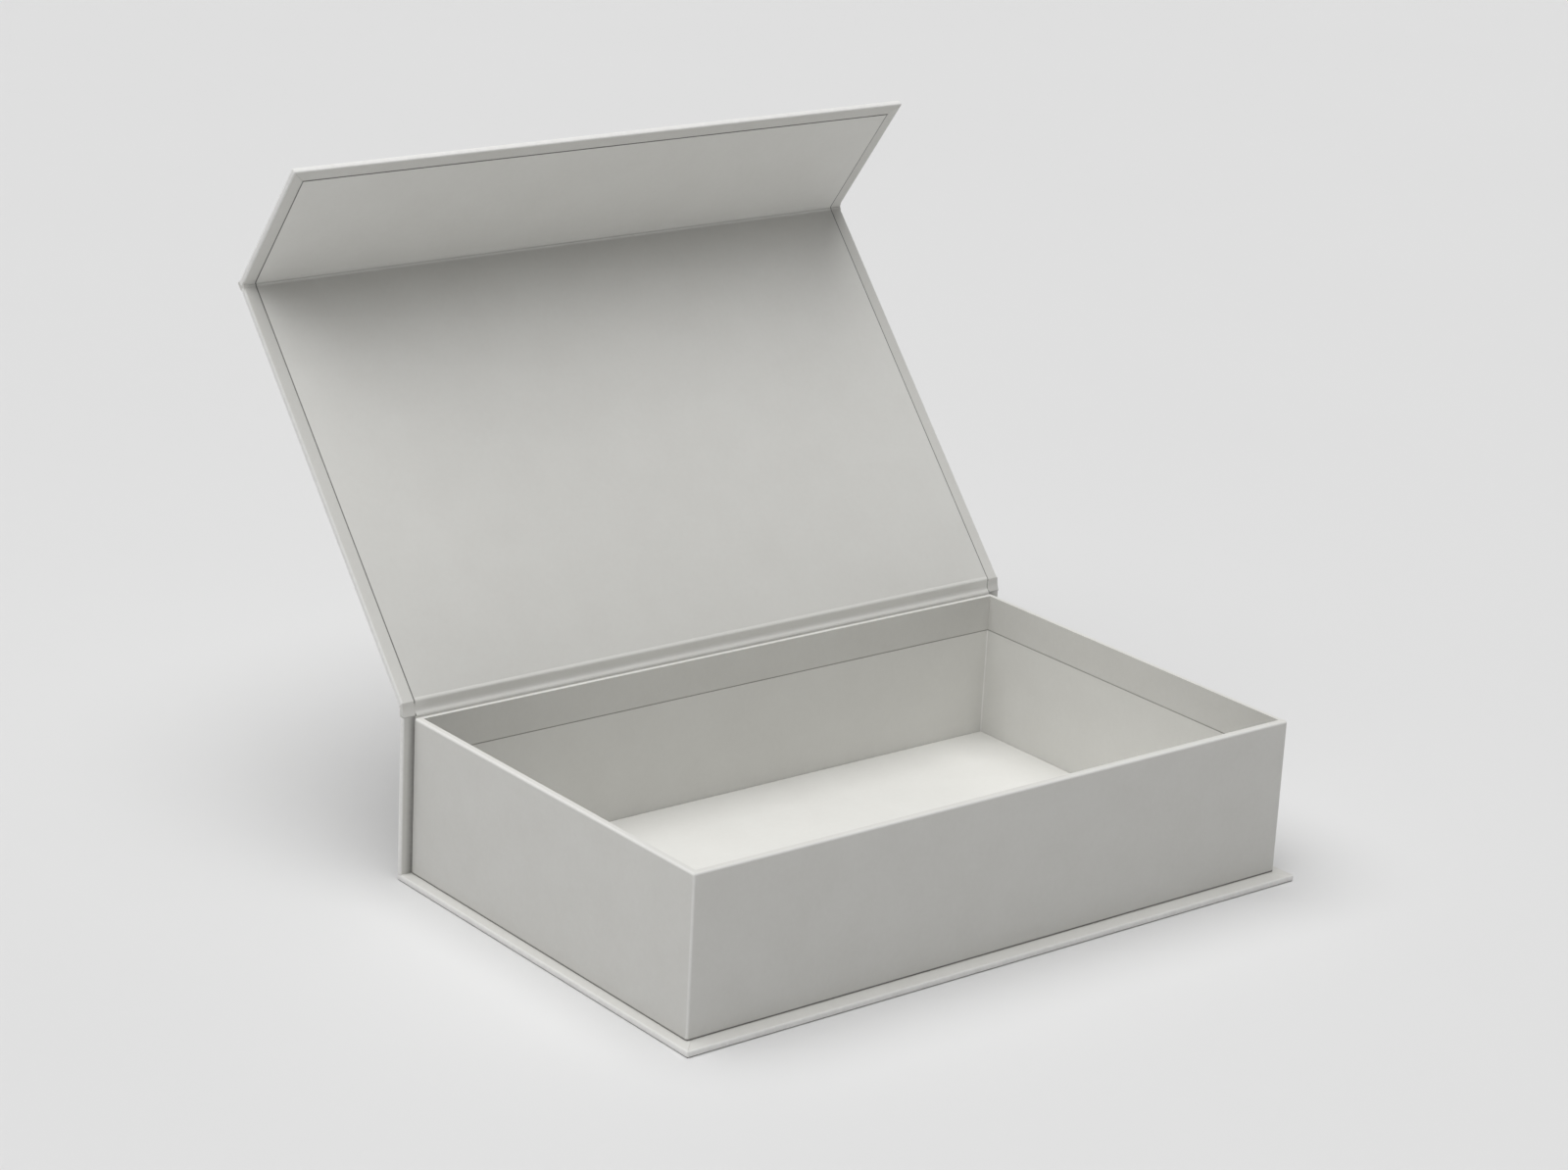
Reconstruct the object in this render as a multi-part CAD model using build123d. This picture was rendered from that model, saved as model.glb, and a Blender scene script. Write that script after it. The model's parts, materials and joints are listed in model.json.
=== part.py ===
from build123d import *
import math
import os

os.makedirs("parts", exist_ok=True)

# Archival document box: a case of paper-covered board with an open tray glued on its base.
# Millimetres. X runs along the width, Y from the front to the back, Z up.
# The origin is the centre of the base's underside, the face that stands on the shelf.

# Clear space inside the tray
inner_width = 364.0
inner_depth = 219.0
inner_height = 78.0

# Sheet materials
board = 3.0
cover_paper = 0.2
inner_paper = 0.2
liner_paper = 0.2

# Case proportions
side_overhang = 5.8
front_overhang = 8.6
turn_in = 18.0
turn_under = 15.0
rim_turn_in = 19.0
liner_margin = 6.8
tray_corner_radius = 1.4
panel_edge_radius = 0.9

# Fits of the folding cover
lid_clearance = 1.0
flap_clearance = 1.0
flap_base_clearance = 0.8
joint_clearance = 0.4
joint_start = 1.3

# How the cover stands: the lid's lean back from upright, the flap's fold from the lid's line
lid_lean = 41.0
flap_fold = 77.0

# Hidden closure
magnet_diameter = 12.0
magnet_thickness = 2.0
magnet_from_edge = 22.0
magnet_spacing = 190.0
plate_diameter = 16.0
plate_thickness = 1.0
pocket_clearance = 0.1

# Everything below follows from the values above
panel = cover_paper + board + inner_paper
lined_panel = panel + liner_paper
tray_width = inner_width + 2 * panel
tray_depth = inner_depth + 2 * panel
case_width = tray_width + 2 * side_overhang
spine_depth = liner_paper + panel
base_depth = front_overhang + tray_depth + spine_depth

base_front = -base_depth / 2
tray_front = base_front + front_overhang
tray_back = tray_front + tray_depth
tray_mid = (tray_front + tray_back) / 2
spine_outer = base_depth / 2

tray_bottom = panel
floor_board_bottom = tray_bottom + cover_paper
floor_board_top = floor_board_bottom + board
tray_floor = floor_board_top + inner_paper
rim = tray_floor + inner_height
rim_board_top = rim - cover_paper

hinge_height = rim + lid_clearance + lined_panel
spine_top = hinge_height - lined_panel - joint_clearance
lid_length = tray_depth + spine_depth + flap_clearance + lined_panel
lid_board_end = lid_length - lined_panel - joint_clearance
flap_length = hinge_height - panel - flap_base_clearance

board_edge_radius = panel_edge_radius - cover_paper
tray_board_radius = tray_corner_radius - cover_paper


def span(x0, x1, y0, y1, z0, z1):
    """A block between two corners."""
    return Pos((x0 + x1) / 2, (y0 + y1) / 2, (z0 + z1) / 2) * Box(x1 - x0, y1 - y0, z1 - z0)


def edges_along(part, axis, keep):
    """The straight edges of a block along an axis whose middle passes a test."""
    return [edge for edge in part.edges().filter_by(axis) if keep(edge.center())]


def ribbon(points, thickness, width):
    """A strip of paper of one thickness, on the left of a path in the YZ plane, as wide as asked."""
    left = []
    for index, point in enumerate(points):
        before = points[max(index - 1, 0)]
        after = points[min(index + 1, len(points) - 1)]
        normals = []
        for start, end in ((before, point), (point, after)):
            run = math.dist(start, end)
            if run > 0:
                normals.append((-(end[1] - start[1]) / run, (end[0] - start[0]) / run))
        mean = [sum(normal[k] for normal in normals) / len(normals) for k in (0, 1)]
        scale = thickness / (mean[0] ** 2 + mean[1] ** 2)
        left.append((point[0] + mean[0] * scale, point[1] + mean[1] * scale))
    outline = [*points, *reversed(left)]
    face = make_face(Polyline(*[(0, y, z) for y, z in outline], close=True))
    return Pos(-width / 2, 0, 0) * extrude(face, amount=width, dir=(1, 0, 0))


def save(part, name):
    part.label = name
    export_step(part, f"parts/{name}.step")


def panel_block(width, y0, y1, z0, z1, radius, ends):
    """A panel's outer shape with its side edges rounded, and those ends that are wrapped."""
    block = span(-width / 2, width / 2, y0, y1, z0, z1)
    picked = edges_along(block, Axis.Y, lambda c: True)
    if "low" in ends:
        picked += edges_along(block, Axis.X, lambda c: c.Y < (y0 + y1) / 2)
        picked += edges_along(block, Axis.Z, lambda c: c.Y < (y0 + y1) / 2)
    if "high" in ends:
        picked += edges_along(block, Axis.X, lambda c: c.Y > (y0 + y1) / 2)
        picked += edges_along(block, Axis.Z, lambda c: c.Y > (y0 + y1) / 2)
    return fillet(picked, radius)


def wrapped_panel(width, y0, y1, ends):
    """A board, its cover with turned-in margins, and the sheet that levels the space between them.

    The outer face is at Z = 0 and the panel's inner face at Z = panel."""
    outer = panel_block(width, y0, y1, 0, panel, panel_edge_radius, ends)
    low = y0 + cover_paper if "low" in ends else y0
    high = y1 - cover_paper if "high" in ends else y1
    core = panel_block(width - 2 * cover_paper, low, high, cover_paper, cover_paper + board,
                       board_edge_radius, ends)
    fill_low = y0 + turn_in if "low" in ends else y0
    fill_high = y1 - turn_in if "high" in ends else y1
    fill = span(-width / 2 + turn_in, width / 2 - turn_in, fill_low, fill_high,
                cover_paper + board, panel)
    return core, outer - core - fill, fill


def base_pieces():
    core, wrap, fill = wrapped_panel(case_width, base_front, spine_outer, ("low", "high"))
    return {"base_board": core, "base_wrap": wrap, "base_infill": fill}


def spine_pieces():
    core, wrap, fill = wrapped_panel(case_width, 0, spine_top - tray_bottom, ())
    stand = Location((0, spine_outer, tray_bottom), (90, 0, 0))
    liner = span(-case_width / 2 + liner_margin, case_width / 2 - liner_margin,
                 tray_back, tray_back + liner_paper, tray_bottom, spine_top)
    return {"spine_board": stand * core, "spine_wrap": stand * wrap, "spine_infill": stand * fill,
            "spine_liner": liner}


def tray_block(offset, radius, low, high):
    """The tray's outer shape, set in by an offset, its corners and its top and bottom edges rounded."""
    block = span(-tray_width / 2 + offset, tray_width / 2 - offset, tray_front + offset,
                 tray_back - offset, low, high)
    picked = edges_along(block, Axis.Z, lambda c: True)
    picked += edges_along(block, Axis.X, lambda c: c.Z > (low + high) / 2)
    picked += edges_along(block, Axis.Y, lambda c: c.Z > (low + high) / 2)
    return fillet(picked, radius)


def tray_space(offset, low, high):
    """The tray's inside, grown by an offset into its walls."""
    return span(-inner_width / 2 - offset, inner_width / 2 + offset, tray_front + panel - offset,
                tray_back - panel + offset, low, high)


def tray_pieces():
    outer = tray_block(0, tray_corner_radius, tray_bottom, rim)
    core = tray_block(cover_paper, tray_board_radius, floor_board_bottom, rim_board_top)
    above = rim + 10
    walls = core - tray_space(inner_paper, floor_board_bottom - 1, above)
    inset = cover_paper + board
    far = case_width
    front_zone = span(-far, far, tray_front - 1, tray_front + inset, 0, above)
    back_zone = span(-far, far, tray_back - inset, tray_back + 1, 0, above)
    left_zone = span(-far, 0, tray_front + inset, tray_back - inset, 0, above)
    right_zone = span(0, far, tray_front + inset, tray_back - inset, 0, above)
    front_board = (walls & front_zone) - closure_discs(plate_diameter + 2 * pocket_clearance)
    under = span(-tray_width / 2 + turn_under, tray_width / 2 - turn_under,
                 tray_front + turn_under, tray_back - turn_under, tray_bottom, floor_board_bottom)
    turned = tray_space(inner_paper, rim - rim_turn_in, rim_board_top)
    turned -= tray_space(0, rim - rim_turn_in, rim_board_top)
    wrap = outer - core - under - tray_space(0, floor_board_bottom, above) + turned
    wall_liner = tray_space(inner_paper, floor_board_top, rim - rim_turn_in)
    wall_liner -= tray_space(0, floor_board_top, rim - rim_turn_in)
    return {
        "tray_front_board": front_board,
        "tray_back_board": walls & back_zone,
        "tray_left_board": walls & left_zone,
        "tray_right_board": walls & right_zone,
        "tray_floor_board": tray_space(inner_paper, floor_board_bottom, floor_board_top),
        "tray_wrap": wrap,
        "tray_wall_liner": wall_liner,
        "tray_floor_liner": tray_space(0, floor_board_top, tray_floor),
        "tray_underside_paper": under,
        "tray_front_plates": closure_discs(plate_diameter),
    }


def closure_discs(diameter):
    """Steel discs flush in the outer face of the tray's front board, level with the flap's magnets."""
    level = hinge_height - flap_length + magnet_from_edge
    discs = Part()
    for side in (-1, 1):
        disc = Cylinder(diameter / 2, plate_thickness, align=(Align.CENTER, Align.CENTER, Align.MIN))
        place = Location((side * magnet_spacing / 2, tray_front + cover_paper, level), (-90, 0, 0))
        discs += place * disc
    return discs


def lid_place():
    """From the lid's own frame, with Y along its length and Z into the box, to where it stands."""
    return Location((0, spine_outer, hinge_height), (90 - lid_lean, 0, 0))


def flap_place():
    return lid_place() * Location((0, lid_length, 0), (flap_fold, 0, 0))


def lid_pieces():
    core, wrap, fill = wrapped_panel(case_width, joint_start, lid_board_end, ())
    liner = span(-case_width / 2 + liner_margin, case_width / 2 - liner_margin,
                 joint_start, lid_board_end, panel, lined_panel)
    pieces = {"lid_board": core, "lid_wrap": wrap, "lid_infill": fill, "lid_liner": liner}
    return {name: lid_place() * piece for name, piece in pieces.items()}


def magnet_discs(diameter):
    """Magnets in blind pockets, flush with the inner face of the flap's board."""
    discs = Part()
    for side in (-1, 1):
        disc = Cylinder(diameter / 2, magnet_thickness, align=(Align.CENTER, Align.CENTER, Align.MAX))
        discs += Pos(side * magnet_spacing / 2, flap_length - magnet_from_edge,
                     cover_paper + board) * disc
    return discs


def flap_pieces():
    core, wrap, fill = wrapped_panel(case_width, joint_start, flap_length, ("high",))
    liner = span(-case_width / 2 + liner_margin, case_width / 2 - liner_margin,
                 joint_start, flap_length - liner_margin, panel, lined_panel)
    core -= magnet_discs(magnet_diameter + 2 * pocket_clearance)
    pieces = {"flap_board": core, "flap_wrap": wrap, "flap_infill": fill, "flap_liner": liner,
              "flap_magnets": magnet_discs(magnet_diameter)}
    return {name: flap_place() * piece for name, piece in pieces.items()}


def in_plane(place, y, z):
    """A point of a panel's own frame as (Y, Z) of the box."""
    spot = (place * Location((0, y, z))).position
    return (spot.Y, spot.Z)


def hinge_pieces():
    """The paper that crosses each joint: the cover outside, and the liner pressed into the groove."""
    lid = lid_place()
    flap = flap_place()
    liner_width = case_width - 2 * liner_margin
    lid_cover = [in_plane(lid, joint_start, 0), (spine_outer, hinge_height), (spine_outer, spine_top)]
    groove = liner_paper
    lid_liner = [
        in_plane(lid, joint_start, panel),
        in_plane(lid, joint_start / 2, panel * 0.62),
        (spine_outer - cover_paper - groove * 2, hinge_height - joint_clearance),
        (spine_outer - cover_paper - groove * 4, (spine_top + hinge_height) / 2),
        (tray_back + liner_paper, spine_top),
    ]
    flap_cover = [
        in_plane(flap, joint_start, 0),
        in_plane(lid, lid_length, 0),
        in_plane(lid, lid_board_end, 0),
    ]
    flap_liner = [
        in_plane(flap, joint_start, panel),
        in_plane(flap, joint_start - liner_paper * 2.5, panel),
        in_plane(lid, lid_board_end + liner_paper, panel * 0.45),
        in_plane(lid, lid_board_end + liner_paper * 0.25, panel),
        in_plane(lid, lid_board_end, panel),
    ]
    return {
        "lid_hinge_wrap": ribbon(list(reversed(lid_cover)), cover_paper, case_width),
        "lid_hinge_liner": ribbon(list(reversed(lid_liner)), liner_paper, liner_width),
        "flap_hinge_wrap": ribbon(list(reversed(flap_cover)), cover_paper, case_width),
        "flap_hinge_liner": ribbon(list(reversed(flap_liner)), liner_paper, liner_width),
    }


pieces = {}
for made in (base_pieces, spine_pieces, tray_pieces, lid_pieces, flap_pieces, hinge_pieces):
    pieces.update(made())
for name, piece in pieces.items():
    save(piece, name)
    print(f"{name}: {len(piece.solids())} solid, {piece.volume:.1f} mm3")
print(f"lid hinge: Y {spine_outer:.3f} Z {hinge_height:.3f}; lid {lid_length:.2f}, flap {flap_length:.2f}")
far_hinge = in_plane(lid_place(), lid_length, 0)
print(f"flap hinge: Y {far_hinge[0]:.3f} Z {far_hinge[1]:.3f}")
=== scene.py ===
import json
import math

import bpy
from mathutils import Matrix, Vector


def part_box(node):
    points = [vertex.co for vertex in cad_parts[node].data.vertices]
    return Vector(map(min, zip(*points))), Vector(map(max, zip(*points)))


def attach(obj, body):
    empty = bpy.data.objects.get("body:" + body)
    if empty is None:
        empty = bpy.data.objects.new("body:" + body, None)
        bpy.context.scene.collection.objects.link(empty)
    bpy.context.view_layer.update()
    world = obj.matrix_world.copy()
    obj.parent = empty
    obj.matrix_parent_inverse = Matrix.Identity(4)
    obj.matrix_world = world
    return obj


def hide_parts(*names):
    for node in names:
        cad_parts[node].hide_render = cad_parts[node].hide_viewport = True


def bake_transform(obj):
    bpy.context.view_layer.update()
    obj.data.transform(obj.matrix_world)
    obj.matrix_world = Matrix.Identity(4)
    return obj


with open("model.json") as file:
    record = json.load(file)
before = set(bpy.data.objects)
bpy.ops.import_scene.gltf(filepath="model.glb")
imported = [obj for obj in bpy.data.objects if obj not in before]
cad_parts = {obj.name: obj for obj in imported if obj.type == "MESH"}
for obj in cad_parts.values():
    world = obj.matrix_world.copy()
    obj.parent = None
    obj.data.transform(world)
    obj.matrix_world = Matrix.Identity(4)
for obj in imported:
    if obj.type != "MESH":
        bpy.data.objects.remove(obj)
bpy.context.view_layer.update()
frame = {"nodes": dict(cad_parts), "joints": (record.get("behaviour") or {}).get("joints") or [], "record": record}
mm = 0.001
pivots = {joint["name"]: joint for joint in frame["joints"]}

# sheet goods and case, in metres
sheets = dict(paper=0.2 * mm, panel=3.4 * mm)
case = dict(turnIn=18 * mm, linerMargin=6.8 * mm, edgeRadius=0.9 * mm, hingeStart=1.3 * mm,
            hingeEnd=4.0 * mm, mitreGap=0.12 * mm, rimWidth=0.4 * mm, flapLength=85.2 * mm)

baseLow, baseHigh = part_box("base_wrap")
caseWidth = baseHigh.x - baseLow.x
lidPivot = Vector(pivots["lid_hinge"]["pos_m"])
flapPivot = Vector(pivots["flap_hinge"]["pos_m"])
lidRun = flapPivot - lidPivot
lidLength = lidRun.length
lidTurn = math.atan2(lidRun.z, lidRun.y)  # the lid's slope from level
flapFold = -math.radians(pivots["flap_hinge"]["range_deg"][0])
lidPlace = Matrix.Translation(lidPivot) @ Matrix.Rotation(lidTurn, 4, "X")
flapPlace = Matrix.Translation(flapPivot) @ Matrix.Rotation(lidTurn + flapFold, 4, "X")
print("frame loaded, lid leans", round(90 - math.degrees(lidTurn), 1))


# shader maths: a socket that takes part in Python expressions
class Value:
    def __init__(self, shader, socket):
        self.shader = shader
        self.socket = socket

    def math(self, operation, *others, clamp=False):
        return self.shader.add("ShaderNodeMath", dict(operation=operation, use_clamp=clamp),
                               dict(enumerate((self, *others))))

    def __add__(self, other):
        return self.math("ADD", other)

    __radd__ = __add__

    def __sub__(self, other):
        return self.math("SUBTRACT", other)

    def __rsub__(self, other):
        return self.shader.add("ShaderNodeMath", dict(operation="SUBTRACT"), {0: other, 1: self})

    def __mul__(self, other):
        return self.math("MULTIPLY", other)

    __rmul__ = __mul__


class Shader:
    def __init__(self, name):
        self.material = bpy.data.materials.new(name)
        self.material.use_nodes = True
        self.tree = self.material.node_tree
        self.surface = self.tree.nodes["Principled BSDF"]

    def add(self, kind, settings=None, inputs=None, output=0):
        node = self.tree.nodes.new(kind)
        for key, item in (settings or {}).items():
            if key == "stops":
                ramp = node.color_ramp
                while len(ramp.elements) < len(item):
                    ramp.elements.new(0.5)
                for element, (place, colour) in zip(ramp.elements, item):
                    element.position = place
                    element.color = (*colour, 1)
            else:
                setattr(node, key, item)
        for key, item in (inputs or {}).items():
            self.feed(node.inputs[key], item)
        return Value(self, node.outputs[output])

    def feed(self, socket, item):
        if isinstance(item, Value):
            self.tree.links.new(item.socket, socket)
        else:
            socket.default_value = item

    def set(self, **inputs):
        for key, item in inputs.items():
            self.feed(self.surface.inputs[key.replace("_", " ")], item)

    def mix(self, factor, first, second):
        return self.add("ShaderNodeMix", dict(data_type="RGBA"), {0: factor, 6: first, 7: second}, 2)

    def noise(self, where, scale, detail=3, roughness=0.55, distortion=0):
        return self.add("ShaderNodeTexNoise", None, dict(Vector=where, Scale=scale, Detail=detail,
                        Roughness=roughness, Distortion=distortion))


def rgb(red, green, blue):
    return (red, green, blue, 1)


# the darkest colour is for painted shade lines and glue lines at cut edges; the lightest is for worn edges and
# painted highlights
coverPaper = dict(fresh=rgb(0.65, 0.645, 0.618), mottled=rgb(0.622, 0.615, 0.586),
                  fibre=rgb(0.70, 0.695, 0.67), fold=rgb(0.20, 0.197, 0.188),
                  wornAndHighlit=rgb(0.87, 0.865, 0.85), fibreScale=2600, mottleScale=38, roughness=0.78, sheen=0.06)
# the lining paper is lighter than the cover paper partly as painted light: it brightens the lid and tray floor
# against the cover's front faces
liningPaper = dict(coverPaper, fresh=rgb(0.72, 0.716, 0.688), mottled=rgb(0.692, 0.686, 0.657))
fillerPaper = dict(coverPaper, fresh=rgb(0.60, 0.595, 0.575), mottled=rgb(0.56, 0.555, 0.535))
greyBoard = dict(pulp=rgb(0.42, 0.40, 0.37), light=rgb(0.56, 0.54, 0.50), speck=rgb(0.18, 0.17, 0.16),
                 layerPitch=0.35 * mm, roughness=0.9)
steel = dict(bright=rgb(0.62, 0.62, 0.63), dull=rgb(0.46, 0.46, 0.475), roughness=0.34)


# fibres, faint cloudiness of the sheet, lighter edges from wear and painted highlight, and darker lines of painted
# shade, with glue lines at the linings' cut edges
def paperMaterial(name, look):
    s = Shader(name)
    where = s.add("ShaderNodeTexCoord", None, None, 3)
    stretched = s.add("ShaderNodeMapping", None, dict(Vector=where, Scale=(0.34, 1.0, 1.0)))
    crossed = s.add("ShaderNodeMapping", None, dict(Vector=where, Scale=(1.0, 0.4, 0.4),
                    Rotation=(0.4, 0.5, 0.7)))
    cloud = s.noise(where, look["mottleScale"], 4, 0.5)
    fineCloud = s.noise(where, look["mottleScale"] * 9, 3, 0.6)
    longFibre = s.noise(stretched, look["fibreScale"], 3, 0.6, 0.5)
    shortFibre = s.noise(crossed, look["fibreScale"] * 0.6, 3, 0.65, 0.8)
    felt = s.noise(where, look["fibreScale"] * 0.17, 2, 0.5)
    crease = s.add("ShaderNodeAttribute", dict(attribute_name="crease"), None, 2)
    rub = s.add("ShaderNodeAttribute", dict(attribute_name="rub"), None, 2)
    cloudMask = (cloud * 0.65 + fineCloud * 0.35 - 0.36).math("MULTIPLY", 3.2, clamp=True)
    fibreMask = (longFibre * shortFibre - 0.285).math("MULTIPLY", 7.0, clamp=True)
    colour = s.mix(cloudMask * 0.8, look["fresh"], look["mottled"])
    colour = s.mix(fibreMask * 0.34, colour, look["fibre"])
    # lighter edges: wear and painted highlight
    wearHighlightMask = (rub * (0.55 + 0.9 * fineCloud)).math("MINIMUM", 1.0)
    colour = s.mix(wearHighlightMask * 0.95, colour, look["wornAndHighlit"])
    # darker lines: painted shade, and glue lines at cut edges
    colour = s.mix((crease * (0.8 + 0.4 * felt)).math("MINIMUM", 1.0), colour, look["fold"])
    height = longFibre * 0.5 + shortFibre * 0.4 + felt * 0.8 + fineCloud * 0.6
    bump = s.add("ShaderNodeBump", None, dict(Strength=0.16, Distance=0.00012, Height=height))
    rough = look["roughness"] + 0.1 * fineCloud - 0.07 * fibreMask - 0.1 * wearHighlightMask
    s.set(Base_Color=colour, Roughness=rough, Normal=bump, Specular_IOR_Level=0.28,
          Sheen_Weight=look["sheen"], Sheen_Roughness=0.6)
    return s.material


# pressed pulp in layers, with dark specks
def boardMaterial(name, look):
    s = Shader(name)
    where = s.add("ShaderNodeTexCoord", None, None, 3)
    pulp = s.noise(where, 900, 5, 0.65, 0.4)
    cloud = s.noise(where, 60, 3, 0.5)
    layer = s.add("ShaderNodeTexWave", dict(bands_direction="Z"),
                  dict(Vector=where, Scale=1 / look["layerPitch"] / 6.3, Distortion=3.0, Detail=2.0), 1)
    specks = s.add("ShaderNodeTexVoronoi", None, dict(Vector=where, Scale=420.0))
    speckMask = (0.16 - specks).math("MULTIPLY", 9.0, clamp=True)
    patches = (pulp * 0.7 + cloud * 0.3).math("MULTIPLY", 1.0, clamp=True)
    colour = s.mix(patches, look["pulp"], look["light"])
    colour = s.mix(layer * 0.16, colour, look["pulp"])
    colour = s.mix(speckMask * 0.7, colour, look["speck"])
    bump = s.add("ShaderNodeBump", None, dict(Strength=0.3, Distance=0.0002, Height=pulp + layer * 0.3))
    s.set(Base_Color=colour, Roughness=look["roughness"] - 0.08 * pulp, Normal=bump)
    return s.material


# ground sheet steel
def steelMaterial(name, look):
    s = Shader(name)
    where = s.add("ShaderNodeTexCoord", None, None, 3)
    drawn = s.add("ShaderNodeMapping", None, dict(Vector=where, Scale=(0.05, 1.0, 1.0)))
    grind = s.noise(drawn, 5200, 4, 0.7)
    stain = s.noise(where, 140, 4, 0.6)
    colour = s.mix(grind * 0.5 + stain * 0.4, look["bright"], look["dull"])
    bump = s.add("ShaderNodeBump", None, dict(Strength=0.2, Distance=0.00004, Height=grind))
    s.set(Base_Color=colour, Roughness=look["roughness"] + 0.2 * stain, Metallic=1.0, Normal=bump)
    return s.material


materials = {
    "cover_paper": paperMaterial("cover paper", coverPaper),
    "liner_paper": paperMaterial("lining paper", liningPaper),
    "filler_paper": paperMaterial("filler paper", fillerPaper),
    "grey_board": boardMaterial("grey board", greyBoard),
    "plate_steel": steelMaterial("plate steel", steel),
    "magnet_steel": steelMaterial("magnet steel", dict(steel, roughness=0.26)),
}
slots = {entry["node"]: entry["material_slot"] for entry in frame["record"]["subparts"]}
for nodeName, node in frame["nodes"].items():
    node.data.materials.clear()
    node.data.materials.append(materials[slots[nodeName]])
print("materials made:", len(materials))


# modelling steps
def deselect():
    if bpy.context.object and bpy.context.object.mode != "OBJECT":
        bpy.ops.object.mode_set(mode="OBJECT")
    bpy.ops.object.select_all(action="DESELECT")


def applyPlace():
    bpy.ops.object.transform_apply(location=True, rotation=True, scale=True)


def block(name, low, high):
    deselect()
    low, high = Vector(low), Vector(high)
    bpy.ops.mesh.primitive_cube_add(size=1, location=(low + high) / 2)
    piece = bpy.context.object
    piece.name = name
    piece.data.name = name
    piece.scale = high - low
    applyPlace()
    return piece


# selects the faces or edges whose middle and direction pass a test, in edit mode
def pick(piece, kind, test):
    bpy.ops.object.mode_set(mode="EDIT")
    bpy.ops.mesh.select_mode(type=kind)
    bpy.ops.mesh.select_all(action="DESELECT")
    bpy.ops.object.mode_set(mode="OBJECT")
    mesh = piece.data
    found = 0
    if kind == "FACE":
        for polygon in mesh.polygons:
            if test(polygon.center, polygon.normal):
                polygon.select = True
                found += 1
    else:
        for edge in mesh.edges:
            a, b = (mesh.vertices[index].co for index in edge.vertices)
            if test((a + b) / 2, (b - a).normalized()):
                edge.select = True
                found += 1
    bpy.ops.object.mode_set(mode="EDIT")
    return found


# cuts the picked faces along a plane
def cut(piece, test, point, normal):
    pick(piece, "FACE", test)
    bpy.ops.mesh.bisect(plane_co=point, plane_no=normal, threshold=1e-7)
    bpy.ops.object.mode_set(mode="OBJECT")


def cutAway(piece, test):
    pick(piece, "FACE", test)
    bpy.ops.mesh.delete(type="FACE")
    bpy.ops.object.mode_set(mode="OBJECT")


def roundEdges(piece, test, radius, segments=4):
    pick(piece, "EDGE", test)
    bpy.ops.mesh.bevel(offset=radius, segments=segments, affect="EDGES", offset_type="OFFSET")
    bpy.ops.object.mode_set(mode="OBJECT")


# gives a sheet its thickness: offset -1 grows it inwards, 1 outwards
def thicken(piece, thickness, offset=-1):
    modifier = piece.modifiers.new("thickness", "SOLIDIFY")
    modifier.thickness = thickness
    modifier.offset = offset
    modifier.use_even_offset = True
    bpy.context.view_layer.objects.active = piece
    bpy.ops.object.modifier_apply(modifier=modifier.name)


def soften(piece, width, segments=2, angle=50):
    modifier = piece.modifiers.new("edges", "BEVEL")
    modifier.width = width
    modifier.segments = segments
    modifier.limit_method = "ANGLE"
    modifier.angle_limit = math.radians(angle)
    bpy.context.view_layer.objects.active = piece
    bpy.ops.object.modifier_apply(modifier=modifier.name)


# writes a value at every point of the piece, for its paper to read
def mark(piece, name, measure):
    layer = piece.data.attributes.get(name) or piece.data.attributes.new(name, "FLOAT", "POINT")
    for index, vertex in enumerate(piece.data.vertices):
        layer.data[index].value = max(0.0, min(1.0, measure(vertex.co)))


def near(distance, reach):
    return 1 - min(abs(distance), reach) / reach


def finish(piece, slot, place=None, smooth=28):
    bpy.context.view_layer.objects.active = piece
    piece.select_set(True)
    if place is not None:
        piece.data.transform(place)
        piece.data.update()
    bpy.ops.object.shade_smooth_by_angle(angle=math.radians(smooth))
    for attribute in ("crease", "rub"):
        if piece.data.attributes.get(attribute) is None:
            mark(piece, attribute, lambda spot: 0.0)
    piece.data.materials.clear()
    piece.data.materials.append(materials[slot])
    return piece


# cuts a lining beside its two cut edges, so that the edge line stays narrow
def sideCuts(piece, half):
    for reach in (case["rimWidth"], case["rimWidth"] * 1.6):
        for side in (-1, 1):
            line = side * (half - reach)
            cut(piece, lambda spot, normal: abs(normal.x) < 0.5, (line, 0, 0), (1, 0, 0))


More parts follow.
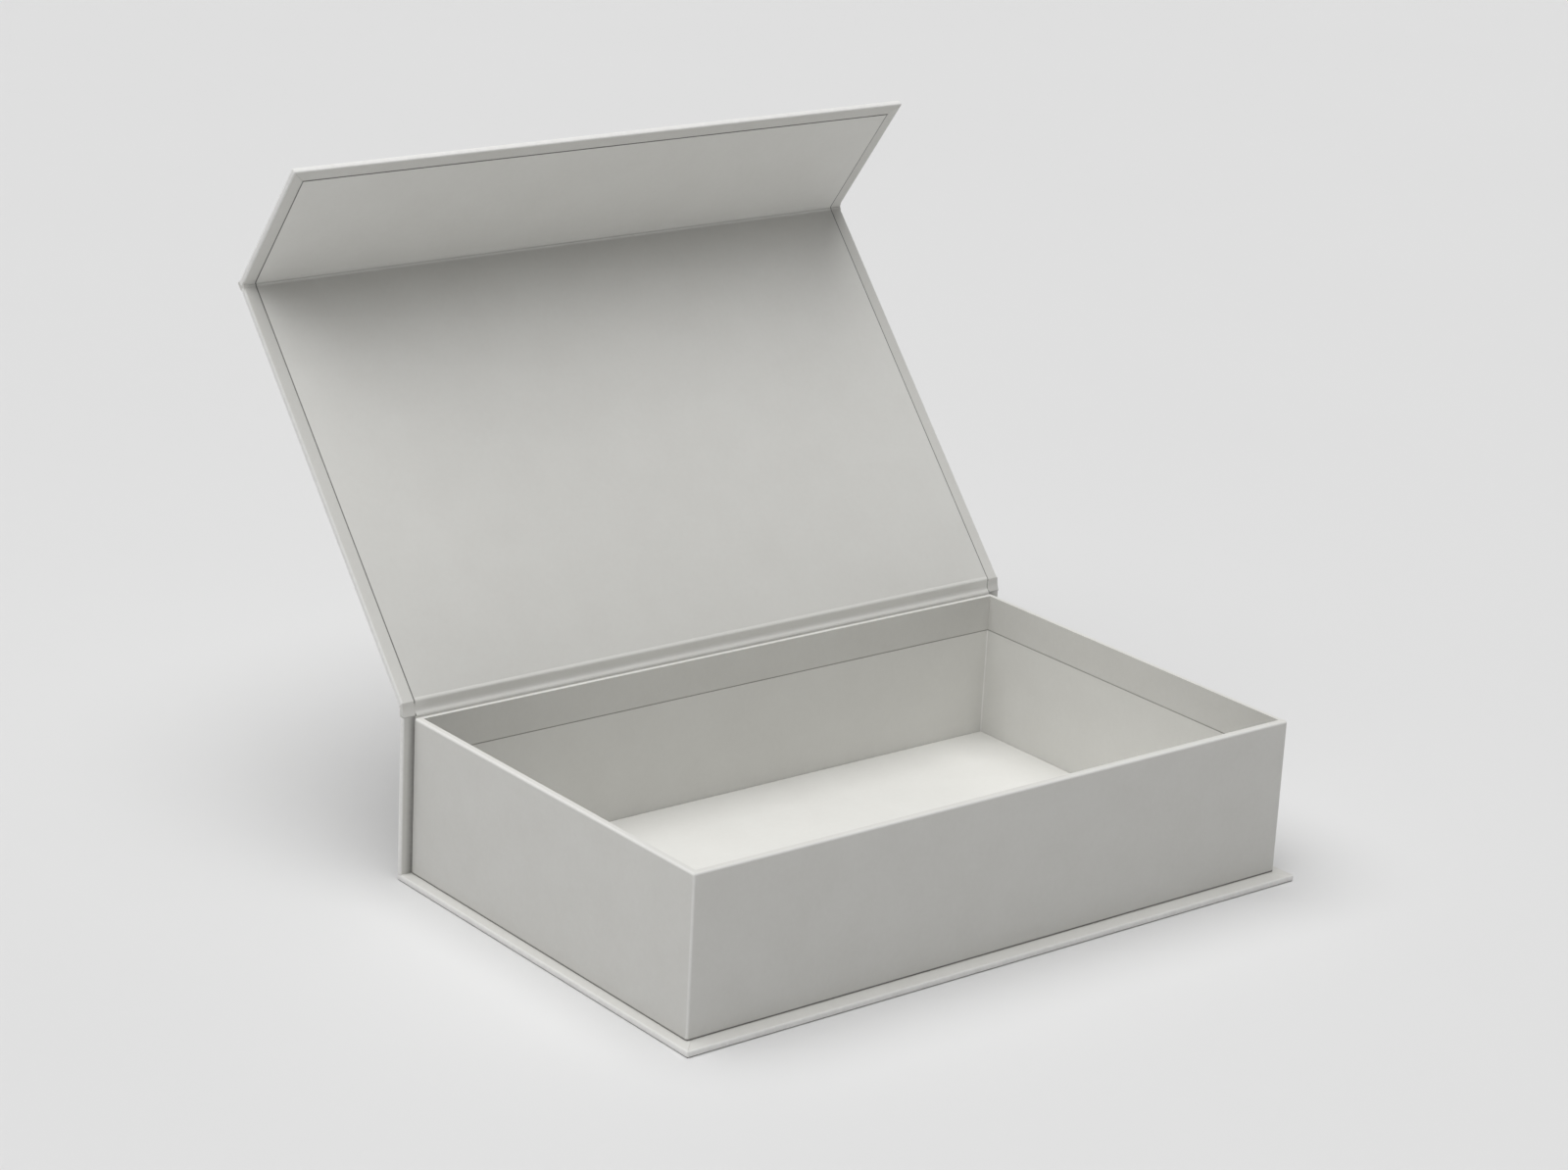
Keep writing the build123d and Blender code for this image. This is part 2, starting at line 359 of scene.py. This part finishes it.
# a cover sheet round a board: outer face at z = 0, turned in over the inner face
def panelCover(name, low, high, wrapped):
    half = caseWidth / 2
    top = sheets["panel"]
    turn = case["turnIn"]
    radius = case["edgeRadius"]
    ends = {"low": low, "high": high}
    atEnd = lambda spot: any(abs(spot.y - ends[end]) < 1e-6 for end in wrapped)
    piece = block(name, (-half, low, 0), (half, high, top))
    roundEdges(piece, lambda spot, way: (abs(way.y) > 0.9 and abs(abs(spot.x) - half) < 1e-6)
               or (max(abs(way.x), abs(way.z)) > 0.9 and atEnd(spot)), radius)
    for end, sign in (("low", -1), ("high", 1)):
        if end not in wrapped:
            cutAway(piece, lambda spot, normal: normal.y * sign > 0.99)
    onTop = lambda spot, normal: normal.z > 0.999
    inner = dict(low=low + (turn if "low" in wrapped else 0),
                 high=high - (turn if "high" in wrapped else 0))
    for side in (-1, 1):
        cut(piece, onTop, (side * (half - turn), 0, 0), (1, 0, 0))
    for end in wrapped:
        cut(piece, onTop, (0, inner[end], 0), (0, 1, 0))
    cutAway(piece, lambda spot, normal: normal.z > 0.999 and abs(spot.x) < half - turn
            and inner["low"] < spot.y < inner["high"])
    gap = case["mitreGap"] / 2
    for end in wrapped:  # the corner mitres, cut as a narrow slit
        inward = 1 if end == "low" else -1
        for side in (-1, 1):
            corner = Vector((side * half, ends[end], top))
            across = Vector((side, inward, 0)).normalized()
            inCorner = lambda spot, normal: (normal.z > 0.999 and abs(spot.x - corner.x) < turn
                                             and abs(spot.y - corner.y) < turn)
            for shift in (-gap, gap):
                cut(piece, inCorner, corner + across * shift, across)
            cutAway(piece, lambda spot, normal: normal.z > 0.999 and (spot - corner).length < turn * 1.4
                    and abs((spot - corner).dot(across)) < gap * 0.5)
    thicken(piece, sheets["paper"])
    rim = lambda spot: min([half - abs(spot.x)] + [abs(spot.y - ends[end]) for end in wrapped])
    # lighter along the rounded edges: wear and painted highlight
    mark(piece, "rub", lambda spot: near(rim(spot), radius * 0.9) * 0.8)
    return piece


# the lining sheet of a panel, with a darker line along its cut edges: a glue line with painted shade of the
# sheet's edge
def lining(name, low, high, bottom, ends):
    half = caseWidth / 2 - case["linerMargin"]
    piece = block(name, (-half, low, bottom), (half, high, bottom + sheets["paper"]))
    rimWidth = case["rimWidth"]
    sideCuts(piece, half)
    for reach in (rimWidth, rimWidth * 1.6):
        for end in ends:
            line = low + reach if end == "low" else high - reach
            cut(piece, lambda spot, normal: abs(normal.z) > 0.9, (0, line, 0), (0, 1, 0))
    soften(piece, 0.06 * mm, 2)
    edges = {"low": low, "high": high}
    rim = lambda spot: min([half - abs(spot.x)] + [abs(spot.y - edges[end]) for end in ends])
    mark(piece, "crease", lambda spot: 1.0 if rim(spot) < rimWidth * 1.1 else 0.0)
    return piece


panels = dict(spineTop=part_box("spine_board")[1].z, trayBottom=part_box("tray_wrap")[0].z)

# painted shade: a darker line round the base's lower edge, where it meets the floor, and a darker strip on the
# spine, beside the tray
paintedShadeLines = dict(lowest=0.03 * mm, baseHeight=0.5 * mm, edge=0.9, stripCuts=(0.4 * mm, 1.6 * mm, 3.4 * mm),
                 stripWidth=3.6 * mm, strip=0.75)
baseCover = panelCover("baseCover", baseLow.y, baseHigh.y, ("low", "high"))
mark(baseCover, "crease", lambda spot: paintedShadeLines["edge"]
     if paintedShadeLines["lowest"] < spot.z < paintedShadeLines["baseHeight"] else 0.0)
finish(baseCover, "cover_paper")
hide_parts("base_wrap")
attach(baseCover, "case")

spineHeight = panels["spineTop"] - panels["trayBottom"]
spinePlace = Matrix.Translation((0, lidPivot.y, panels["trayBottom"])) @ Matrix.Rotation(math.pi / 2, 4, "X")
spineCover = panelCover("spineCover", 0, spineHeight, ())
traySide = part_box("tray_wrap")[1].x
# painted shade on the spine's inner face beside the tray
for reach in paintedShadeLines["stripCuts"]:
    for side in (-1, 1):
        line = side * (traySide + reach)
        cut(spineCover, lambda spot, normal: normal.z > 0.9, (line, 0, 0), (1, 0, 0))
mark(spineCover, "crease", lambda spot: near(max(abs(spot.x) - traySide, 0), paintedShadeLines["stripWidth"])
     * paintedShadeLines["strip"] if spot.z > sheets["panel"] - 0.05 * mm else 0.0)
finish(spineCover, "cover_paper", spinePlace)
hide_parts("spine_wrap")
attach(spineCover, "case")

lidEnd = lidLength - case["hingeEnd"]
lidCover = panelCover("lidCover", case["hingeStart"], lidEnd, ())
finish(lidCover, "cover_paper", lidPlace)
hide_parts("lid_wrap")
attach(lidCover, "lid")
lidLining = lining("lidLining", case["hingeStart"], lidEnd, sheets["panel"], ())
finish(lidLining, "liner_paper", lidPlace)
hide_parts("lid_liner")
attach(lidLining, "lid")

flapCover = panelCover("flapCover", case["hingeStart"], case["flapLength"], ("high",))
finish(flapCover, "cover_paper", flapPlace)
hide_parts("flap_wrap")
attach(flapCover, "flap")
flapLining = lining("flapLining", case["hingeStart"], case["flapLength"] - case["linerMargin"],
                    sheets["panel"], ("high",))
finish(flapLining, "liner_paper", flapPlace)
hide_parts("flap_liner")
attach(flapLining, "flap")
print("case panels covered and lined")


# the tray's cover: outside, over the rim, down the inside and under the floor
tray = dict(wall=3.4 * mm, turnIn=19.0 * mm, turnUnder=15 * mm, cornerRadius=1.4 * mm, footRadius=0.7 * mm,
            footLine=1.1 * mm, rimWearAndHighlight=1.2 * mm, cornerWearAndHighlight=1.3 * mm, gap=0.3 * mm, inCorner=0.6 * mm)
trayLow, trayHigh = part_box("tray_wrap")
trayMid = (trayLow + trayHigh) / 2
traySpan = (trayHigh - trayLow) / 2
trayCover = block("trayCover", trayLow, trayHigh)
roundEdges(trayCover, lambda spot, way: abs(way.z) > 0.9 or spot.z > trayHigh.z - 1e-5,
           tray["cornerRadius"], 5)
roundEdges(trayCover, lambda spot, way: abs(way.z) < 0.1 and spot.z < trayLow.z + 1e-5,
           tray["footRadius"], 3)
cut(trayCover, lambda spot, normal: abs(normal.z) < 0.1, (0, 0, trayLow.z + tray["footLine"]), (0, 0, 1))
pick(trayCover, "FACE", lambda spot, normal: normal.z > 0.999)
bpy.ops.mesh.inset(thickness=tray["wall"] - tray["cornerRadius"], depth=0)
bpy.ops.mesh.extrude_region_move(TRANSFORM_OT_translate={"value": (0, 0, -tray["turnIn"])})
bpy.ops.mesh.delete(type="FACE")
bpy.ops.object.mode_set(mode="OBJECT")
underneath = lambda spot, normal: normal.z < -0.999
for side in (-1, 1):
    across = trayMid.x + side * (traySpan.x - tray["turnUnder"])
    along = trayMid.y + side * (traySpan.y - tray["turnUnder"])
    cut(trayCover, underneath, (across, 0, 0), (1, 0, 0))
    cut(trayCover, underneath, (0, along, 0), (0, 1, 0))
cutAway(trayCover, lambda spot, normal: normal.z < -0.999
        and trayLow.x + tray["turnUnder"] < spot.x < trayHigh.x - tray["turnUnder"]
        and trayLow.y + tray["turnUnder"] < spot.y < trayHigh.y - tray["turnUnder"])
thicken(trayCover, sheets["paper"])


# how far a point lies inside the tray's sides: from the nearer pair, or from both at a corner
def insideTray(spot, choose):
    return choose(traySpan.x - abs(spot.x - trayMid.x), traySpan.y - abs(spot.y - trayMid.y))


# lighter at the rim and down the outer corners: wear and painted highlight
def trayWearAndHighlight(spot):
    rimWearAndHighlight = near(trayHigh.z - spot.z, tray["rimWearAndHighlight"]) * near(insideTray(spot, min), tray["rimWearAndHighlight"])
    return max(rimWearAndHighlight, near(insideTray(spot, max), tray["cornerWearAndHighlight"]))


# painted shade: a darker line low round the tray's sides, where it sits on the base
def trayFootShade(spot):
    low = paintedShadeLines["lowest"] < spot.z - trayLow.z < tray["footLine"] * 0.8
    return paintedShadeLines["edge"] if low and insideTray(spot, min) < tray["footRadius"] * 1.1 else 0.0


mark(trayCover, "rub", trayWearAndHighlight)
mark(trayCover, "crease", trayFootShade)
finish(trayCover, "cover_paper", smooth=32)
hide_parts("tray_wrap")
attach(trayCover, "case")


# the paper lining the tray's walls, in one length with soft corners
wallLow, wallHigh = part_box("tray_floor_liner")
liningTop = trayHigh.z - tray["turnIn"] - tray["gap"]
wallLining = block("trayWallLining", wallLow, (wallHigh.x, wallHigh.y, liningTop))
cutAway(wallLining, lambda spot, normal: abs(normal.z) > 0.9)
for height in (wallLow.z + 0.5 * mm, liningTop - 0.4 * mm):
    cut(wallLining, lambda spot, normal: True, (0, 0, height), (0, 0, 1))
roundEdges(wallLining, lambda spot, way: abs(way.z) > 0.9, tray["inCorner"], 3)
bpy.ops.object.mode_set(mode="EDIT")
bpy.ops.mesh.select_all(action="SELECT")
bpy.ops.mesh.flip_normals()
bpy.ops.object.mode_set(mode="OBJECT")
thicken(wallLining, sheets["paper"])
# darker line along the lining's top edge: a glue line with painted shade below the turn-in
mark(wallLining, "crease", lambda spot: near(liningTop - spot.z, 0.4 * mm) * 0.8)
# lighter down the inner corners: painted highlight
cornerNear = lambda spot: max(wallHigh.x - abs(spot.x),
                              abs(abs(spot.y - trayMid.y) - (wallHigh.y - wallLow.y) / 2))
mark(wallLining, "rub", lambda spot: near(cornerNear(spot), 0.55 * mm) * 2)
finish(wallLining, "liner_paper", smooth=32)
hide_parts("tray_wall_liner")
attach(wallLining, "case")

floorLining = block("trayFloorLining", wallLow + Vector((1, 1, 0)) * tray["gap"],
                    wallHigh - Vector((1, 1, 0)) * tray["gap"])
soften(floorLining, 0.06 * mm, 2)
finish(floorLining, "liner_paper")
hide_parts("tray_floor_liner")
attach(floorLining, "case")
print("tray covered and lined")


# paper across the folds: a sheet drawn along a path in the side view
def sideView(spot):
    return Vector((spot.y, spot.z))


def lidPoint(along, depth):
    return sideView(lidPlace @ Vector((0, along, depth)))


def flapPoint(along, depth):
    return sideView(flapPlace @ Vector((0, along, depth)))


# a smooth run through points, with its first and last spans kept straight
def curved(points, steps=5):
    run = []
    for index in range(len(points) - 1):
        before = points[max(index - 1, 0)]
        start, end = points[index], points[index + 1]
        after = points[min(index + 2, len(points) - 1)]
        for step in range(steps):
            t = step / steps
            run.append(0.5 * (2 * start + (end - before) * t
                              + (2 * before - 5 * start + 4 * end - after) * t * t
                              + (3 * start - before - 3 * end + after) * t ** 3))
    run.append(points[-1])
    return run


# a strip of paper from left to right that follows a path of (y, z), thickened on one side
def foldedSheet(name, left, right, path, thickness, side):
    deselect()
    first, second = path[0], path[1]
    step = second - first
    bpy.ops.mesh.primitive_plane_add(size=1, location=((left + right) / 2, *((first + second) / 2)),
                                     rotation=(math.atan2(step.y, step.x), 0, 0))
    piece = bpy.context.object
    piece.name = name
    piece.scale = (right - left, step.length, 1)
    applyPlace()
    for here, there in zip(path[1:], path[2:]):
        pick(piece, "EDGE", lambda spot, way: abs(way.x) > 0.9
             and (sideView(spot) - here).length < 1e-6)
        move = there - here
        bpy.ops.mesh.extrude_region_move(TRANSFORM_OT_translate={"value": (0, move.x, move.y)})
        bpy.ops.object.mode_set(mode="OBJECT")
    thicken(piece, thickness, side)
    return piece


# fills both ends of a fold, from its inner path out to its cover
def foldEnds(name, inner, outer):
    blocks = []
    for side in (-1, 1):
        reach = sorted((side * (half - folds["endInset"]), side * (half - margin - folds["endLap"])))
        piece = foldedSheet(f"{name}{side}", *reach, inner, paper, -1)
        count = len(piece.data.vertices) // 2
        for pair in zip(piece.data.vertices[:count], piece.data.vertices[count:]):
            kept, moved = sorted(pair, key=lambda vertex: min((sideView(vertex.co) - spot).length
                                                             for spot in inner))
            order = min(range(len(inner)), key=lambda index: (sideView(kept.co) - inner[index]).length)
            share = order / (len(inner) - 1) * (len(outer) - 1)
            low = min(int(share), len(outer) - 2)
            target = outer[low].lerp(outer[low + 1], share - low)
            target += (inner[order] - target).normalized() * paper / 2
            moved.co = (kept.co.x, target.x, target.y)
        blocks.append(piece)
    return blocks


def joined(pieces):
    deselect()
    for piece in pieces:
        piece.select_set(True)
    bpy.context.view_layer.objects.active = pieces[0]
    bpy.ops.object.join()
    return pieces[0]


half = caseWidth / 2
margin = case["linerMargin"]
spineTop = panels["spineTop"]
paper = sheets["paper"]
# groove points: share of the way from spine to lid, depth in mm
folds = dict(endInset=0.06 * mm, endLap=0.3 * mm,
             groove=((0, -0.1), (0.12, 0.1), (0.3, 0.85), (0.5, 1.0), (0.8, 0.35)),
             endGroove=((0, 0), (0.08, 0), (0.5, 0.3), (0.92, 0)), lap=1.6 * mm, straight=2 * mm,
             ridgeLine=0.5 * mm, ridgeShade=0.7, valley=1.3 * mm, valleyShade=0.1,
             flapRise=0.35 * mm, flapStart=3.9 * mm, flapValley=1.2 * mm, flapShade=0.12)

outerPath = curved([Vector((lidPivot.y, spineTop)), Vector((lidPivot.y, spineTop + folds["straight"])),
                    sideView(lidPivot), lidPoint(case["hingeStart"], 0)], 4)
spineRidge = Vector((lidPivot.y - sheets["panel"], spineTop))
lidRidge = lidPoint(case["hingeStart"], sheets["panel"])
ridgeRun = lidRidge - spineRidge
intoGroove = Vector((ridgeRun.y, -ridgeRun.x)).normalized()


def groovePoints(name):
    return [spineRidge + ridgeRun * share + intoGroove * depth * mm for share, depth in folds[name]]


# darker line along a fold lining's cut edges: a glue line with painted shade of the sheet's edge
def cutEdge(spot):  # the line along a fold lining's cut edges
    return 1.0 if half - margin - abs(spot.x) < case["rimWidth"] * 1.1 else 0.0


lapPoint = lidPoint(case["hingeStart"] + folds["lap"], sheets["panel"] + paper * 0.2)
groovePath = curved([*groovePoints("groove"), lidRidge, lapPoint], 4)
endPath = curved([*groovePoints("endGroove"), lidRidge], 4)
lidFoldCover = foldedSheet("lidFoldCover", -half, half, outerPath, paper, 1)
lidFoldCover = joined([lidFoldCover, *foldEnds("lidFoldEnd", endPath, outerPath)])
mark(lidFoldCover, "crease", lambda spot: near((sideView(spot) - spineRidge).length, folds["ridgeLine"])
     * folds["ridgeShade"])
finish(lidFoldCover, "cover_paper", smooth=40)
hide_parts("lid_hinge_wrap")
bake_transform(lidFoldCover)

lidFoldLining = foldedSheet("lidFoldLining", -half + margin, half - margin, groovePath, paper, 1)
sideCuts(lidFoldLining, half - margin)
mark(lidFoldLining, "crease", lambda spot: max(cutEdge(spot), folds["valleyShade"]
     * near((sideView(spot) - groovePath[9]).length, folds["valley"])))
finish(lidFoldLining, "liner_paper", smooth=40)
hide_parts("lid_hinge_liner")
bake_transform(lidFoldLining)

flapOuter = curved([lidPoint(lidEnd, 0), lidPoint(lidLength - folds["straight"], 0),
                    lidPoint(lidLength, 0), flapPoint(case["hingeStart"], 0)], 4)


def flapGrooveAt(lift):
    top = sheets["panel"] + lift
    crest = top + folds["flapRise"]
    return curved([lidPoint(lidEnd - 1.0 * mm, top), lidPoint(lidEnd - 0.2 * mm, top),
                   lidPoint(lidEnd + 0.5 * mm, crest), flapPoint(folds["flapStart"] - 0.9 * mm, crest),
                   flapPoint(folds["flapStart"], top + 0.02 * mm),
                   flapPoint(folds["flapStart"] + 1.0 * mm, top)], 5)


flapGroove = flapGrooveAt(0)
flapFoldCover = foldedSheet("flapFoldCover", -half, half, flapOuter, paper, 1)
flapFoldCover = joined([flapFoldCover, *foldEnds("flapFoldEnd", flapGrooveAt(0.04 * mm), flapOuter)])
finish(flapFoldCover, "cover_paper", smooth=40)
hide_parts("flap_hinge_wrap")
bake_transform(flapFoldCover)
flapFoldLining = foldedSheet("flapFoldLining", -half + margin, half - margin,
                             flapGroove, paper * 1.15, 1)
sideCuts(flapFoldLining, half - margin)
mark(flapFoldLining, "crease", lambda spot: max(cutEdge(spot), folds["flapShade"]
     * near((sideView(spot) - flapGroove[12]).length, folds["flapValley"])))
finish(flapFoldLining, "liner_paper", smooth=40)
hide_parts("flap_hinge_liner")
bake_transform(flapFoldLining)
print("fold papers drawn")


# floor, light and camera
studio = dict(floorRadius=12.0, coveRadius=3.4, coveSteps=10, floorColour=rgb(0.68, 0.68, 0.68),
              floorPatches=rgb(0.67, 0.67, 0.67), skyStrength=0.02, sunStrength=3.4, sunSpread=72.0,
              sunFrom=(-0.19, 0.02, 1.0))
deselect()
bpy.ops.mesh.primitive_circle_add(vertices=96, radius=studio["floorRadius"], fill_type="NGON")
floor = bpy.context.object
floor.name = "studioFloor"
pick(floor, "EDGE", lambda spot, way: True)
for step in range(studio["coveSteps"]):  # the floor's rim is swept up into a wall
    start, stop = (math.pi / 2 * count / studio["coveSteps"] for count in (step, step + 1))
    radii = [studio["floorRadius"] + studio["coveRadius"] * math.sin(turned) for turned in (start, stop)]
    rise = studio["coveRadius"] * (math.cos(start) - math.cos(stop))
    wider = radii[1] / radii[0]
    bpy.ops.mesh.extrude_edges_move(TRANSFORM_OT_translate={"value": (0, 0, rise)})
    bpy.ops.transform.resize(value=(wider, wider, 1), center_override=(0, 0, 0))
bpy.ops.object.mode_set(mode="OBJECT")
bpy.ops.object.shade_smooth_by_angle(angle=math.radians(40))
floorShader = Shader("studio floor")
floorWhere = floorShader.add("ShaderNodeTexCoord", None, None, 3)
floorCloud = floorShader.noise(floorWhere, 3.0, 3, 0.5)
floorShader.set(Base_Color=floorShader.mix(floorCloud, studio["floorColour"], studio["floorPatches"]),
                Roughness=0.9, Specular_IOR_Level=0.1)
floor.data.materials.append(floorShader.material)

world = bpy.data.worlds.new("studio")
bpy.context.scene.world = world
world.use_nodes = True
world.node_tree.nodes["Background"].inputs["Color"].default_value = rgb(1, 1, 1)
world.node_tree.nodes["Background"].inputs["Strength"].default_value = studio["skyStrength"]

sunFrom = Vector(studio["sunFrom"])
bpy.ops.object.light_add(type="SUN", location=sunFrom * 3)
sun = bpy.context.object
sun.rotation_euler = sunFrom.to_track_quat("Z", "Y").to_euler()
sun.data.energy = studio["sunStrength"]
sun.data.angle = math.radians(studio["sunSpread"])

view = dict(place=(-1.15094, -1.34918, 0.75057), turn=(71.35127, -2.80555, -38.19447), lens=88.53)
bpy.ops.object.camera_add(location=view["place"], rotation=[math.radians(angle) for angle in view["turn"]])
camera = bpy.context.object
camera.data.lens = view["lens"]
camera.data.sensor_width = 36
camera.data.clip_end = 60
bpy.context.scene.camera = camera
bpy.context.scene.view_settings.view_transform = "Standard"
print("studio set")
